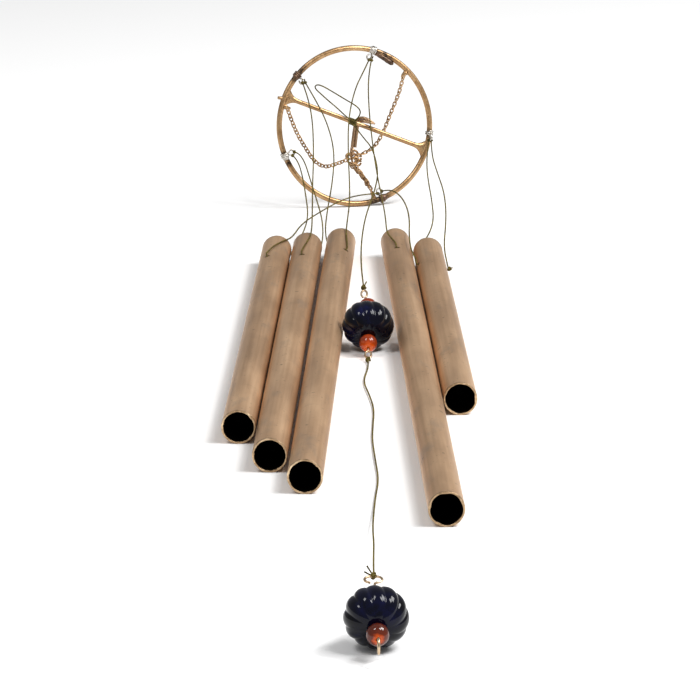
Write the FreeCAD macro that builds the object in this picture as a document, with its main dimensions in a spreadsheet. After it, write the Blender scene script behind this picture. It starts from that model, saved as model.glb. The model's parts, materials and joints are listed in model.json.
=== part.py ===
import FreeCAD, Part
import math
import os
import Sketcher
from FreeCAD import Placement, Rotation, Vector

# A five-tube wind chime laid on a table: the tubes and beads lie on it, the top ring stands on
# its edge behind them, and the strings and chains hang slack. +Z is up, -Y is the near side.

X, Y, Z = Vector(1, 0, 0), Vector(0, 1, 0), Vector(0, 0, 1)

# Driving dimensions, in millimetres and degrees.
SIZES = [
    ("tube_outer", 12.7), ("tube_wall", 0.65), ("string_hole", 2.6),
    ("tube_length_1", 297.0), ("tube_length_2", 342.0), ("tube_length_3", 379.0),
    ("tube_length_4", 420.0), ("tube_length_5", 252.0),
    ("hole_setback_1", 39.0), ("hole_setback_2", 43.0), ("hole_setback_3", 39.0),
    ("hole_setback_4", 38.5), ("hole_setback_5", 36.0),
    ("ring_radius", 35.95), ("ring_wire", 2.6), ("ring_lean", 10.0), ("ring_yaw", 15.0),
    ("lap_inset", 1.95), ("lap_wire", 2.4), ("lap_start", 55.0), ("lap_turn", 15.0),
    ("bar_thickness", 2.2), ("bar_length", 70.6), ("bar_slope", 22.5), ("bar_offset", 1.43),
    ("braze_thickness", 2.0), ("braze_reach", 5.0), ("braze_width", 8.8), ("braze_waist", 2.3),
    ("braze_lap", 0.6), ("flare_place", 0.32), ("flare_swell", 0.75),
    ("clip_wire", 0.8), ("clip_eye", 1.3), ("clip_spread", 0.38),
    ("anchor_radius", 2.2), ("anchor_wire", 0.7), ("anchor_inset", 0.5),
    ("link_length", 3.6), ("link_width", 2.0), ("link_wire", 0.5), ("link_pitch", 2.3),
    ("hook_wire", 2.0), ("hook_eye_radius", 1.9), ("hook_eye_wire", 1.0),
    ("junction_radius", 2.6), ("junction_wire", 0.8),
    ("string_thickness", 0.7), ("knot_radius", 0.9), ("bar_knot_radius", 1.9),
    ("bead_height", 16.5), ("bead_bore", 1.2), ("lobe_arc", 8.417), ("lobe_offset", 1.833),
    ("groove_radius", 0.85), ("groove_sink", 0.35), ("groove_turn", 150.0), ("lobe_count", 12),
    ("spacer_ball", 7.2), ("spacer_gap", 0.05),
    ("pin_wire", 0.85), ("pin_shaft", 32.2), ("neck_lap", 0.2),
    ("eye_radius", 2.35), ("eye_wire", 0.9), ("eye_reach", 19.3),
]

# Where the ring's wire stands on the table.
RING_FOOT = Vector(2.2, 331.5, 0)

# Tubes: far end x and y, turn in the fan, then the places round the tube of its upper and
# lower string hole, in degrees from +X.
TUBES = {
    1: (-31.8, 211.5, -1.75, 112, 305),
    2: (-18.5, 217.5, -1.71, 98, 305),
    3: (-3.9, 226.5, -1.80, 57, 235),
    4: (19.8, 226.5, 1.80, 99, 305),
    5: (33.8, 207.5, 1.75, 158, 2),
}

# String clips: place round the ring in degrees, then the eye's centre as its distance along
# the ring, inwards and in front.
CLIPS = {
    "a": (137.0, 0.6, 3.5, 0.0),
    "b": (199.5, 0.0, 3.5, 0.0),
    "c": (73.0, 1.0, 3.5, 0.0),
    "d": (352.0, -2.0, 0.0, 2.9),
    "e": (288.5, 0.0, 3.5, 0.0),
}
CHAIN_ANCHORS = {"left": 162.3, "right": 42.5, "lower": 282.5}

# Chain routes in the ring's own frame (right, up, in front), from the ring to the junction.
CHAINS = {
    "left": [
        (-31.6, 9.3, 0), (-29.8, 3.6, -0.3), (-27.3, -2.6, -0.8), (-23.6, -9.0, -1.4),
        (-19.6, -15.5, -1.9), (-14.7, -18.5, -2.5), (-9.5, -17.4, -2.2), (-4.3, -15.8, -3.1)],
    "right": [
        (24.3, 21.8, 0), (22.7, 15.5, -0.8), (20.4, 9.6, -2.4), (17.2, 2.6, -3.0),
        (14.0, -4.6, -3.4), (10.6, -9.4, -3.4), (6.9, -12.1, -3.0), (2.0, -13.8, -3.1)],
    "lower": [
        (7.0, -31.7, 0.1), (5.1, -30.5, -2.3), (2.4, -30.2, -3.3), (-2.1, -30.6, -5.7),
        (-2.4, -30.4, -9.6), (-1.3, -30.9, -12.4), (2.1, -31.7, -14.5), (5.2, -31.3, -12.1),
        (6.7, -30.4, -9.3), (5.9, -27.4, -5.8), (4.5, -24.5, -4.8), (2.5, -21.0, -3.7),
        (0.8, -18.1, -3.1)],
}
JUNCTION_CENTRE = Vector(-1.0, -15.2, -3.1)
HOOK_EYE_CENTRE = Vector(-1.0, -11.75, -3.1)
HOOK_ROUTE = [
    (-1.0, -9.9, -3.1), (1.3, 0.0, -3.4), (2.7, 4.5, -2.0), (5.6, 4.6, 1.0), (9.2, 1.6, 1.9)]

# The knot where the centre string and the tail are tied to the crossbar, and the knot that
# ends the fifth tube's string outside its right-hand hole.
BAR_KNOT = (1.6, 335.8, 38.4)
TUBE_KNOT = (42.35, 172.9, 6.7)

# Bead stacks: bead centre, droop of the near end, turn to the right of the near end, the far
# eye's bend sideways and up, and the near eye's turn about the pin.
STRIKER = (Vector(7.2, 57.4, 10.2), 24.0, 0.0, -1.5, 0.8, 0.0)
CATCHER = (Vector(8.1, -326.6, 10.25), 10.0, 2.0, -0.1, 3.1, 90.0)

# String routes. A tube's string runs from one clip over the tube's far rim, in through its
# upper hole, out of its lower one and back along the table to the next clip.
STRINGS = {
    "tube_string_1": [
        (12.75, 334.9, 5.4), (6.2, 321.5, 7.9), (-3, 301, 10), (-13.5, 270, 10.6),
        (-21.5, 243, 11), (-25.2, 217.3, 10.5), (-28.5, 201.4, 12.7), (-32.8, 187.5, 13.5),
        (-35.5, 177.2, 12.8), (-35.7, 174.3, 13.1), (-35.2, 172.5, 11.8), (-33.6, 171.9, 8.8),
        (-31.2, 172, 4.5), (-29.6, 172.3, 1.5), (-28.8, 174.1, 0.4), (-28.8, 177, 0.6),
        (-28.6, 185.4, 0.6), (-28, 199.4, 0.6), (-26.4, 220, 1.9), (-21.6, 238, 5.6),
        (-18.4, 262, 9.8), (-20.2, 290, 15.4), (-21.9, 311, 19.6), (-24.2, 324, 23.6),
        (-26.4, 328, 24.8)],
    "tube_string_2": [
        (-21.9, 335, 57.6), (-19.4, 333.2, 51.2), (-17.1, 325, 41.6), (-16.5, 304, 29.2),
        (-16.8, 272.7, 21.5), (-16.6, 240, 16.2), (-16.7, 212.4, 13.3), (-18.4, 197.5, 13.3),
        (-19.8, 186.5, 13.3), (-20.6, 179.1, 13.3), (-20.7, 176.2, 13.5), (-20.6, 174.4, 12.2),
        (-19.4, 173.9, 9.1), (-17.6, 174, 4.6), (-16.4, 174.3, 1.5), (-15.6, 176.1, 0.4),
        (-15.6, 179, 0.6), (-15.4, 187.4, 0.6), (-14.9, 202.4, 0.5), (-14, 219.5, 1.2),
        (-11.8, 232.5, 6.4), (-12.2, 252, 10.8), (-14.6, 274, 14.2), (-17.9, 299, 18.9),
        (-20.6, 317, 23.8), (-23.6, 325, 26.6), (-25.7, 328.4, 26.4)],
    "tube_string_3": [
        (8.8, 345.1, 66.4), (6.3, 344, 61.2), (2.2, 338.8, 53.8), (-0.8, 326, 42.3),
        (-0.8, 301, 30.2), (-0.2, 275, 23.9), (-0.1, 252, 18.6), (-1.7, 221.4, 13.2),
        (-1.5, 208.4, 12.7), (-1.2, 198.4, 12.4), (-1.2, 192, 12.2), (-1.1, 189.1, 12.4),
        (-1.9, 187.3, 11.3), (-3.8, 186.9, 8.5), (-6.6, 187.1, 4.4), (-8.5, 187.5, 1.5),
        (-9.2, 189.3, 0.4), (-9, 192.2, 0.6), (-8.8, 200.6, 0.6), (-8.4, 214.6, 0.6),
        (-8.9, 232.5, 1.4), (-11.2, 248, 5.6), (-10.2, 268, 11.6), (-7.8, 291, 20.4),
        (-7, 311, 30.4), (-10.6, 325.5, 41.2), (-17, 333.6, 51.8), (-20.6, 335.4, 57.5)],
    "tube_string_4": [
        (9.9, 345.3, 66.2), (8.5, 343.6, 60), (8.5, 336, 48), (10, 317, 34.6), (12.2, 290, 23.6),
        (14.4, 262, 18.2), (15.7, 238, 14.8), (16, 219.4, 12.3), (17.8, 207.4, 12.8),
        (19.1, 198.5, 13.2), (19.8, 192.6, 13.3), (19.8, 189.7, 13.5), (20.1, 187.9, 12.2),
        (21.4, 187.4, 9.1), (23.2, 187.6, 4.6), (24.4, 188, 1.5), (25.1, 189.8, 0.4),
        (24.9, 192.7, 0.6), (24.7, 200.6, 0.6), (24.5, 212.6, 0.5), (27.2, 221, 1.5),
        (33.5, 236, 5.2), (37.4, 260, 8), (37.2, 288, 11.2), (35.6, 318, 16.6), (35.4, 336, 22.2),
        (36.6, 343.2, 28.9)],
    "tube_string_5": [
        (14.7, 335.4, 6.4), (18.7, 321.6, 10.4), (23.2, 300, 11.6), (25.7, 272, 12.2),
        (26.3, 240, 13.2), (25.6, 208, 14), (26, 183, 12.9), (28.2, 176.8, 10.3),
        (28.2, 172.7, 9.2), (29.4, 171.2, 8.6), (32.7, 170.9, 8), (37.5, 171.1, 7.1),
        (40.8, 171.6, 6.6), (42.1, 173.4, 6.6), (41.7, 176.5, 7), (41.4, 183.7, 7.8),
        (40.9, 197.7, 8.4), (41, 214, 9.4), (42.2, 240, 10.6), (43, 268, 12.2), (42.6, 296, 14.8),
        (40.1, 320.5, 18.3), (37.8, 336.5, 23.2), (37.7, 343.3, 28.9)],
    "centre_string": [
        (2.1, 335.6, 37.2), (6, 332.5, 32.4), (9.7, 324.5, 29.8), (11.9, 310.3, 26.2),
        (12.7, 293.2, 23.2), (11.4, 273.4, 20.9), (9.5, 253.9, 19.5), (7, 227, 18.5),
        (5.4, 195, 17.9), (4.6, 159, 18), (4.7, 120.5, 19), (5.2, 92, 20.3), (5.5, 78.3, 20.7)],
    "string_tail": [
        (0.7, 335.8, 39.6), (-2.3, 333.5, 42.4), (-5.7, 330.8, 46.3), (-10.1, 329.2, 50.3),
        (-13.5, 328.6, 53.6), (-15.7, 328.6, 55.6), (-16.2, 328.7, 57), (-15, 328.9, 57.8),
        (-12.4, 329.1, 57), (-7.4, 329.2, 54), (-1.8, 329.4, 50.5), (2.3, 330.2, 48),
        (4.8, 331.7, 45.4), (4.6, 333.6, 42.4), (2.6, 335.7, 39.7)],
    "lower_string": [
        (7.15, 36.2, 1.3), (7.2, 30.2, 0.8), (6.8, 22, 0.7), (5.1, 3.6, 0.7), (7.3, -15.9, 0.8),
        (9.1, -36.9, 0.7), (8.6, -59.9, 0.6), (8.1, -81.2, 0.7), (9.2, -111.8, 0.8),
        (10.2, -135.7, 0.7), (8.9, -158.8, 0.8), (8.1, -181.6, 1), (7.7, -206, 3),
        (7.9, -234, 6.9), (7.7, -262, 11.6), (7.5, -286, 15.2), (7.5, -305.6, 17.1)],
}

doc = FreeCAD.newDocument("wind_chime")
sheet = doc.addObject("Spreadsheet::Sheet", "sizes")
for row, (alias, value) in enumerate(SIZES, 1):
    sheet.set(f"A{row}", alias)
    sheet.set(f"B{row}", str(value))
    sheet.setAlias(f"B{row}", alias)
doc.recompute()

nodes = []


def size(alias):
    return float(sheet.get(alias))


def node(obj, name):
    obj.Label = name
    nodes.append(obj)
    return obj


def primitive(kind, name, place=None, **bound):
    obj = doc.addObject(kind, name)
    for prop, expression in bound.items():
        obj.setExpression(prop, expression)
    if place:
        obj.Placement = place
    return obj


def feature(name, shape, place=None):
    obj = doc.addObject("Part::Feature", name)
    obj.Shape = shape
    if place:
        obj.Placement = place
    return obj


def fuse(name, parts):
    obj = doc.addObject("Part::MultiFuse", name)
    obj.Shapes = parts
    obj.Refine = False
    return obj


def cut(name, base, tool):
    obj = doc.addObject("Part::Cut", name)
    obj.Base = base
    obj.Tool = tool
    return obj


def rod(name, start, end, radius, frame=None):
    """A straight round rod from start to end, its radius an expression."""
    start, end = Vector(start), Vector(end)
    along = end - start
    place = Placement(start, Rotation(Z, along))
    obj = primitive("Part::Cylinder", name, Radius=radius)
    obj.Height = along.Length
    obj.Placement = frame * place if frame else place
    return obj


def torus(name, centre, axis, major, wire, frame=None):
    """A wire loop round axis, its centreline radius and wire thickness expressions."""
    place = Placement(Vector(centre), Rotation(Z, Vector(axis)))
    place = frame * place if frame else place
    return primitive("Part::Torus", name, place, Radius1=major, Radius2=f"{wire} / 2")


def ball(name, centre, radius):
    return primitive("Part::Sphere", name, Placement(Vector(centre), Rotation()), Radius=radius)


def origin_plane(body, role):
    return next(f for f in body.Origin.OriginFeatures if f.Role == role)


def named_constraint(sketch, name, constraint, expression):
    """A constraint with a name, driven by the sheet."""
    index = sketch.addConstraint(Sketcher.Constraint(*constraint))
    sketch.renameConstraint(index, name)
    sketch.setExpression(f"Constraints.{name}", expression)


# ---- cords

def cord_path(points):
    """Straight runs joined by tangent arcs, each nearly as large as its two runs allow."""
    bend_share = 0.45
    points = [Vector(p) for p in points]
    edges, radii, start = [], [], points[0]
    for before, corner, after in zip(points, points[1:], points[2:]):
        back, ahead = before - corner, after - corner
        reach = bend_share * min(back.Length, ahead.Length)
        turn = math.pi - back.getAngle(ahead)
        radius = reach / math.tan(turn / 2)
        back.normalize()
        ahead.normalize()
        arc_start, arc_end = corner + back * reach, corner + ahead * reach
        middle = (back + ahead).normalize()
        arc_middle = corner + middle * (radius / math.cos(turn / 2) - radius)
        edges.append(Part.LineSegment(start, arc_start).toShape())
        edges.append(Part.Arc(arc_start, arc_middle, arc_end).toShape())
        radii.append(radius)
        start = arc_end
    edges.append(Part.LineSegment(start, points[-1]).toShape())
    return Part.Wire(edges), radii


def tube_along(name, points, thickness):
    """A solid round cord along points; prints its length and arc radii."""
    path, radii = cord_path(points)
    first = Vector(points[1]) - Vector(points[0])
    section = Part.Wire(Part.makeCircle(thickness / 2, Vector(points[0]), first))
    shape = path.makePipeShell([section], True, False)
    expected = math.pi * thickness ** 2 / 4 * path.Length
    share = shape.Volume / expected
    print(f"{name}: {path.Length:.0f} mm long, volume {share:.3f} of section x length,",
          f"smallest arc {min(radii):.1f} mm")
    print("   arcs:", " ".join(f"{r:.1f}" for r in radii))
    return shape


def string(name):
    return node(feature(name, tube_along(name, STRINGS[name], size("string_thickness"))), name)


# ---- ring, crossbar and what is soldered to the ring

def ring_place():
    """The ring's own frame, whose right, up and front are its X, Y and Z."""
    lean = math.radians(size("ring_lean"))
    height = size("ring_radius") * math.cos(lean) + size("ring_wire") / 2
    back = (size("ring_radius") + size("ring_wire") / 2) * math.sin(lean)
    turn = Rotation(Z, size("ring_yaw")) * Rotation(X, 90 - size("ring_lean"))
    return Placement(RING_FOOT + Vector(0, back, height), turn)


def round_ring(degrees):
    """A frame on the ring's wire: X points outwards, Y along the wire, Z to the front."""
    turn = Rotation(Z, degrees)
    return RING * Placement(turn.multVec(Vector(size("ring_radius"), 0, 0)), turn)


def make_ring():
    ring = primitive("Part::Torus", "ring_wire", RING,
                     Radius1="sizes.ring_radius", Radius2="sizes.ring_wire / 2")
    node(ring, "ring")
    start = Placement(Vector(), Rotation(Z, size("lap_start")))
    lap = primitive("Part::Torus", "lap_end", RING * start, Angle3="sizes.lap_turn",
                    Radius1="sizes.ring_radius - sizes.lap_inset", Radius2="sizes.lap_wire / 2")
    node(lap, "ring_lap_joint")


def make_crossbar():
    slope = Rotation(Z, -size("bar_slope"))
    bar_frame = RING * Placement(slope.multVec(Vector(0, size("bar_offset"), 0)), slope)
    bar = primitive("Part::Cylinder", "bar_rod", Radius="sizes.bar_thickness / 2",
                    Height="sizes.bar_length")
    bar.Placement = bar_frame * Placement(Vector(-size("bar_length") / 2, 0, 0), Rotation(Z, X))
    node(bar, "crossbar")
    for side, name in ((-1, "crossbar_braze_left"), (1, "crossbar_braze_right")):
        node(braze(name, side, bar_frame), name)


def braze(name, side, bar_frame):
    """The flared web of brazing metal between the bar's end and the ring."""
    reach, thick = size("braze_reach"), size("braze_thickness")
    wide, narrow = size("braze_width") / 2, size("braze_waist") / 2
    outer = side * (size("bar_length") / 2 - size("braze_lap"))
    inner = outer - side * reach

    def corner(x, y):
        return Vector(x, y, -thick / 2)

    def flare(x_from, y_from, x_to, y_to, sign):
        middle = corner(outer - side * reach * size("flare_place"),
                        sign * (narrow + size("flare_swell")))
        return Part.Arc(corner(x_from, y_from), middle, corner(x_to, y_to)).toShape()

    edges = [
        Part.LineSegment(corner(outer, -wide), corner(outer, wide)).toShape(),
        flare(outer, wide, inner, narrow, 1),
        Part.LineSegment(corner(inner, narrow), corner(inner, -narrow)).toShape(),
        flare(inner, -narrow, outer, -wide, -1),
    ]
    face = Part.Face(Part.Wire(edges))
    return feature(name + "_web", face.extrude(Vector(0, 0, thick)), bar_frame)


def make_clip(letter, angle, along, inwards, in_front):
    """A wire wound twice round the ring, with the eye that the strings are tied to."""
    frame = round_ring(angle)
    wrap_radius = "sizes.ring_wire / 2 + sizes.clip_wire / 2"
    spread = size("clip_spread")
    turns = [
        torus(f"clip_{letter}_turn_{i}", (0, offset, 0), Y, wrap_radius, "sizes.clip_wire", frame)
        for i, offset in enumerate((-spread, spread))]
    eye = torus(f"clip_{letter}_eye", (-inwards, along, in_front), X if in_front else Z,
                "sizes.clip_eye", "sizes.clip_wire", frame)
    node(fuse(f"clip_{letter}", turns + [eye]), f"string_clip_{letter}")


def make_anchor(side, angle):
    """The wire loop that a chain's first link hangs in."""
    loop = torus(f"anchor_{side}", (-size("anchor_inset"), 0, 0), Y, "sizes.anchor_radius",
                 "sizes.anchor_wire", round_ring(angle))
    node(loop, f"chain_anchor_{side}")


# ---- chains and hook

def link_shape():
    """One oval link lying along X in the XY plane."""
    wire = size("link_wire")
    bend = (size("link_width") - wire) / 2
    half = size("link_length") / 2 - wire / 2 - bend
    loop = Part.makeCylinder(wire / 2, 2 * half, Vector(-half, bend, 0), X)
    side = Part.makeCylinder(wire / 2, 2 * half, Vector(-half, -bend, 0), X)
    right = Part.makeTorus(bend, wire / 2, Vector(half, 0, 0), Z, 0, 360, 180)
    right.rotate(Vector(half, 0, 0), Z, -90)
    left = Part.makeTorus(bend, wire / 2, Vector(-half, 0, 0), Z, 0, 360, 180)
    left.rotate(Vector(-half, 0, 0), Z, 90)
    return loop.fuse([side, right, left])


def stations(points, pitch):
    """Points about one pitch apart along a route, even in number, ends included."""
    points = [Vector(p) for p in points]
    lengths = [(b - a).Length for a, b in zip(points, points[1:])]
    count = 2 * round((sum(lengths) / pitch + 1) / 2)
    found = []
    for i in range(count):
        left = sum(lengths) * i / (count - 1)
        for start, end, length in zip(points, points[1:], lengths):
            if left <= length or end is points[-1]:
                found.append(start + (end - start) * min(left / length, 1))
                break
            left -= length
    return found


def make_chain(side):
    """Oval links, each a quarter turn from the last, from the ring's loop to the junction."""
    places = stations(CHAINS[side], size("link_pitch"))
    held = size("ring_radius") - size("anchor_inset") - size("anchor_radius")
    first = Rotation(Z, CHAIN_ANCHORS[side]).multVec(Vector(held, 0, 0))
    ahead = places[1:] + [JUNCTION_CENTRE]
    behind = [first] + places[:-1]
    behind[-1], ahead[0] = places[-1], places[0]
    link = link_shape()
    links = []
    for i, centre in enumerate(places):
        along = ahead[i] - behind[i]
        flat = Z if i % 2 == 0 else Z.cross(along)
        copy = link.copy()
        copy.Placement = Placement(centre, Rotation(along, Vector(), flat, "XZY"))
        links.append(copy)
    print(f"chain_{side}: {len(links)} links")
    node(feature(f"links_{side}", Part.makeCompound(links), RING), f"chain_{side}")


def make_hook():
    """The wire hook that goes over the crossbar, with its eye, and the ring in that eye."""
    shank = feature("hook_shank", tube_along("hook", HOOK_ROUTE, size("hook_wire")), RING)
    eye = torus("hook_eye", HOOK_EYE_CENTRE, X, "sizes.hook_eye_radius", "sizes.hook_eye_wire",
                RING)
    tip = primitive("Part::Sphere", "hook_tip", RING * Placement(Vector(HOOK_ROUTE[-1]), Rotation()),
                    Radius="sizes.hook_wire / 2")
    node(fuse("hook_wire_form", [shank, eye, tip]), "hanging_hook")
    node(torus("junction", JUNCTION_CENTRE, Z, "sizes.junction_radius", "sizes.junction_wire", RING),
         "junction_ring")


# ---- tubes

def make_tube(number, far_x, far_y, turn, upper, lower):
    """A thin copper tube drilled through both walls near its far end."""
    body = doc.addObject("PartDesign::Body", f"tube_body_{number}")
    ends = body.newObject("Sketcher::SketchObject", f"tube_section_{number}")
    ends.AttachmentSupport = [(origin_plane(body, "XZ_Plane"), "")]
    ends.MapMode = "FlatFace"
    outside, bore = size("tube_outer") / 2, size("tube_outer") / 2 - size("tube_wall")
    for name, radius, bound in (
            ("outside", outside, "sizes.tube_outer / 2"),
            ("bore", bore, "sizes.tube_outer / 2 - sizes.tube_wall")):
        circle = ends.addGeometry(Part.Circle(Vector(), Z, radius), False)
        ends.addConstraint(Sketcher.Constraint("Coincident", circle, 3, -1, 1))
        named_constraint(ends, name, ("Radius", circle, radius), bound)
    pad = body.newObject("PartDesign::Pad", f"tube_wall_{number}")
    pad.Profile = ends
    pad.setExpression("Length", f"sizes.tube_length_{number}")
    doc.recompute()
    solid_volume = body.Shape.Volume

    hole = body.newObject("Sketcher::SketchObject", f"string_hole_{number}")
    hole.AttachmentSupport = [(origin_plane(body, "XY_Plane"), "")]
    hole.MapMode = "FlatFace"
    hole.AttachmentOffset = Placement(Vector(), Rotation(Y, -(upper + lower) / 2))
    off_centre = size("tube_outer") / 2 * math.cos(math.radians(lower - upper) / 2)
    setback = size(f"hole_setback_{number}")
    radius = size("string_hole") / 2
    hole.addGeometry(Part.Circle(Vector(off_centre, -setback, 0), Z, radius), False)
    named_constraint(hole, "hole_radius", ("Radius", 0, radius), "sizes.string_hole / 2")
    drill = body.newObject("PartDesign::Pocket", f"drilled_hole_{number}")
    drill.Profile = hole
    drill.SideType = "Symmetric"
    drill.setExpression("Length", "2 * sizes.tube_outer")
    body.Tip = drill
    doc.recompute()
    print(f"tube_{number}: drilling removes {solid_volume - body.Shape.Volume:.1f} mm3")
    body.Placement = Placement(Vector(far_x, far_y, size("tube_outer") / 2), Rotation(Z, turn))
    node(body, f"tube_{number}")


# ---- beads

def bead_frame(stack):
    """A bead stack's frame: Z along the pin to the far eye, X to the right, Y downwards."""
    centre, droop, turn = stack[:3]
    return Placement(centre, Rotation(Z, turn) * Rotation(X, droop - 90))


def make_bead(name, frame):
    """A melon bead: a turned body with a bore, and grooves between its lobes."""
    body = doc.addObject("PartDesign::Body", f"{name}_body")
    outline = body.newObject("Sketcher::SketchObject", f"{name}_outline")
    outline.AttachmentSupport = [(origin_plane(body, "XZ_Plane"), "")]
    outline.MapMode = "FlatFace"
    bore, half = size("bead_bore") / 2, size("bead_height") / 2
    offset, arc = size("lobe_offset"), size("lobe_arc")
    angle = math.asin(half / arc)
    rim = offset + arc * math.cos(angle)
    circle = Part.Circle(Vector(offset, 0, 0), Z, arc)
    for shape in (
        Part.LineSegment(Vector(bore, -half, 0), Vector(rim, -half, 0)),
        Part.ArcOfCircle(circle, -angle, angle),
        Part.LineSegment(Vector(rim, half, 0), Vector(bore, half, 0)),
        Part.LineSegment(Vector(bore, half, 0), Vector(bore, -half, 0)),
    ):
        outline.addGeometry(shape, False)
    for joined in ((0, 2, 1, 1), (1, 2, 2, 1), (2, 2, 3, 1), (3, 2, 0, 1)):
        outline.addConstraint(Sketcher.Constraint("Coincident", *joined))
    for kind, line in (("Horizontal", 0), ("Horizontal", 2), ("Vertical", 3)):
        outline.addConstraint(Sketcher.Constraint(kind, line))
    outline.addConstraint(Sketcher.Constraint("PointOnObject", 1, 3, -1))
    named_constraint(outline, "arc_radius", ("Radius", 1, arc), "sizes.lobe_arc")
    named_constraint(outline, "arc_offset", ("DistanceX", -1, 1, 1, 3, offset),
                     "sizes.lobe_offset")
    named_constraint(outline, "bore_radius", ("DistanceX", -1, 1, 3, 1, bore),
                     "sizes.bead_bore / 2")
    named_constraint(outline, "half_height", ("DistanceY", -1, 1, 3, 1, half),
                     "sizes.bead_height / 2")
    turned = body.newObject("PartDesign::Revolution", f"{name}_turned")
    turned.Profile = outline
    turned.ReferenceAxis = (outline, ["V_Axis"])
    turned.Angle = 360
    doc.recompute()
    turned_volume = body.Shape.Volume

    section = body.newObject("Sketcher::SketchObject", f"{name}_groove_section")
    section.AttachmentSupport = [(origin_plane(body, "XY_Plane"), "")]
    section.MapMode = "FlatFace"
    reach = offset + arc + size("groove_sink")
    section.addGeometry(Part.Circle(Vector(reach, 0, 0), Z, size("groove_radius")), False)
    section.addGeometry(Part.LineSegment(Vector(offset, -1, 0), Vector(offset, 1, 0)), True)
    named_constraint(section, "groove_radius", ("Radius", 0, size("groove_radius")),
                     "sizes.groove_radius")
    groove = body.newObject("PartDesign::Groove", f"{name}_groove")
    groove.Profile = section
    groove.ReferenceAxis = (section, ["Axis0"])
    groove.setExpression("Angle", "sizes.groove_turn")
    groove.Midplane = True
    body.Tip = groove
    doc.recompute()
    around = body.newObject("PartDesign::PolarPattern", f"{name}_lobes")
    around.Originals = [groove]
    around.Axis = (outline, ["V_Axis"])
    around.Angle = 360
    around.setExpression("Occurrences", "sizes.lobe_count")
    body.Tip = around
    doc.recompute()
    print(f"{name}: grooves remove {turned_volume - body.Shape.Volume:.0f} mm3")
    body.Placement = frame
    node(body, name)


def make_spacer(name, side, frame):
    """A round glass spacer between the bead and the pin's eye."""
    place = frame * Placement(Vector(0, 0, side * spacer_reach()), Rotation())
    glass = primitive("Part::Sphere", f"{name}_ball", place, Radius="sizes.spacer_ball / 2")
    low = place * Placement(Vector(0, 0, -size("spacer_ball")), Rotation())
    bore = primitive("Part::Cylinder", f"{name}_bore", low, Radius="sizes.bead_bore / 2",
                     Height="2 * sizes.spacer_ball")
    node(cut(f"{name}_bored", glass, bore), name)


def spacer_reach():
    return size("bead_height") / 2 + size("spacer_gap") + size("spacer_ball") / 2


def make_pin(name, stack, frame):
    """The bead's wire pin with an eye at each end; the far eye is bent up and aside."""
    aside, up, near_turn = stack[3:]
    reach, eye = size("eye_reach"), size("eye_radius")
    half = size("pin_shaft") / 2
    wire = "sizes.pin_wire / 2"
    far_centre = Vector(aside, -up, reach)
    shaft = rod(f"{name}_shaft", (0, 0, eye - reach), (0, 0, half), wire, frame)
    far_neck = rod(f"{name}_far_neck", (0, 0, half - size("neck_lap")),
                   far_centre - Vector(0, 0, eye), wire, frame)
    far_eye = torus(f"{name}_far_eye", far_centre, Y, "sizes.eye_radius", "sizes.eye_wire",
                    frame)
    near_axis = Rotation(Z, near_turn).multVec(Y)
    near_eye = torus(f"{name}_near_eye", (0, 0, -reach), near_axis, "sizes.eye_radius",
                     "sizes.eye_wire", frame)
    node(fuse(f"{name}_wire", [shaft, far_neck, far_eye, near_eye]), name)


def make_stack(prefix, stack):
    frame = bead_frame(stack)
    make_pin(f"{prefix}_pin", stack, frame)
    make_bead(f"{prefix}_bead", frame)
    make_spacer(f"{prefix}_spacer_far", 1, frame)
    make_spacer(f"{prefix}_spacer_near", -1, frame)


# ---- knots

def make_knots():
    node(ball("knot_on_bar", BAR_KNOT, "sizes.bar_knot_radius"), "bar_knot")
    ends = {
        "striker_knot": STRINGS["centre_string"][-1],
        "lower_knot": STRINGS["lower_string"][0],
        "catcher_knot": STRINGS["lower_string"][-1],
        "tube_knot_5": TUBE_KNOT,
    }
    for name, centre in ends.items():
        node(ball(f"{name}_ball", centre, "sizes.knot_radius"), name)


RING = ring_place()
make_ring()
make_crossbar()
for letter, place in CLIPS.items():
    make_clip(letter, *place)
for side, angle in CHAIN_ANCHORS.items():
    make_anchor(side, angle)
    make_chain(side)
make_hook()
for number, place in TUBES.items():
    make_tube(number, *place)
make_stack("striker", STRIKER)
make_stack("catcher", CATCHER)
for name in STRINGS:
    string(name)
make_knots()

doc.recompute()
for obj in doc.Objects:
    if "Invalid" in obj.State or "Error" in obj.State:
        raise RuntimeError(f"{obj.Name}: {obj.State}")

os.makedirs("parts", exist_ok=True)
whole = FreeCAD.BoundBox()
for obj in nodes:
    if obj.Shape.isNull() or not obj.Shape.isValid() or not obj.Shape.Solids:
        raise RuntimeError(f"{obj.Label}: not a valid solid")
    obj.Shape.exportStep(f"parts/{obj.Label}.step")
    whole.add(obj.Shape.BoundBox)
print(f"{len(nodes)} nodes, {whole}")
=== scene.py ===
# A wind chime lying on a table: five copper tubes, two stacks of glass beads, and the wire
# ring they hang from, which stands on its edge behind them. Metres, +Z up, -Y the near side.

import json
import math

import bpy
import numpy as np
from mathutils import Matrix, Vector, noise


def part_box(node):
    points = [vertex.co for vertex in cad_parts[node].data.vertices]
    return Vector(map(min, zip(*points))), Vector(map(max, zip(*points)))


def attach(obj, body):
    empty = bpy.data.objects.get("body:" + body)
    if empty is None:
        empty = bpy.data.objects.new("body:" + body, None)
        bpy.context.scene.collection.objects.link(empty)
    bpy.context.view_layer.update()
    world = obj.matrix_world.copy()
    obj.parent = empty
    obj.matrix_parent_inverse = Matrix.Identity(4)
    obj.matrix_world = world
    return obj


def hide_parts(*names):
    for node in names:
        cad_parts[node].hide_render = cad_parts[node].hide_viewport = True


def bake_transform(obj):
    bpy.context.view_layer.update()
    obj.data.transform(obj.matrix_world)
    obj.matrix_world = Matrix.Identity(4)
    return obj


MM = 0.001

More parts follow.
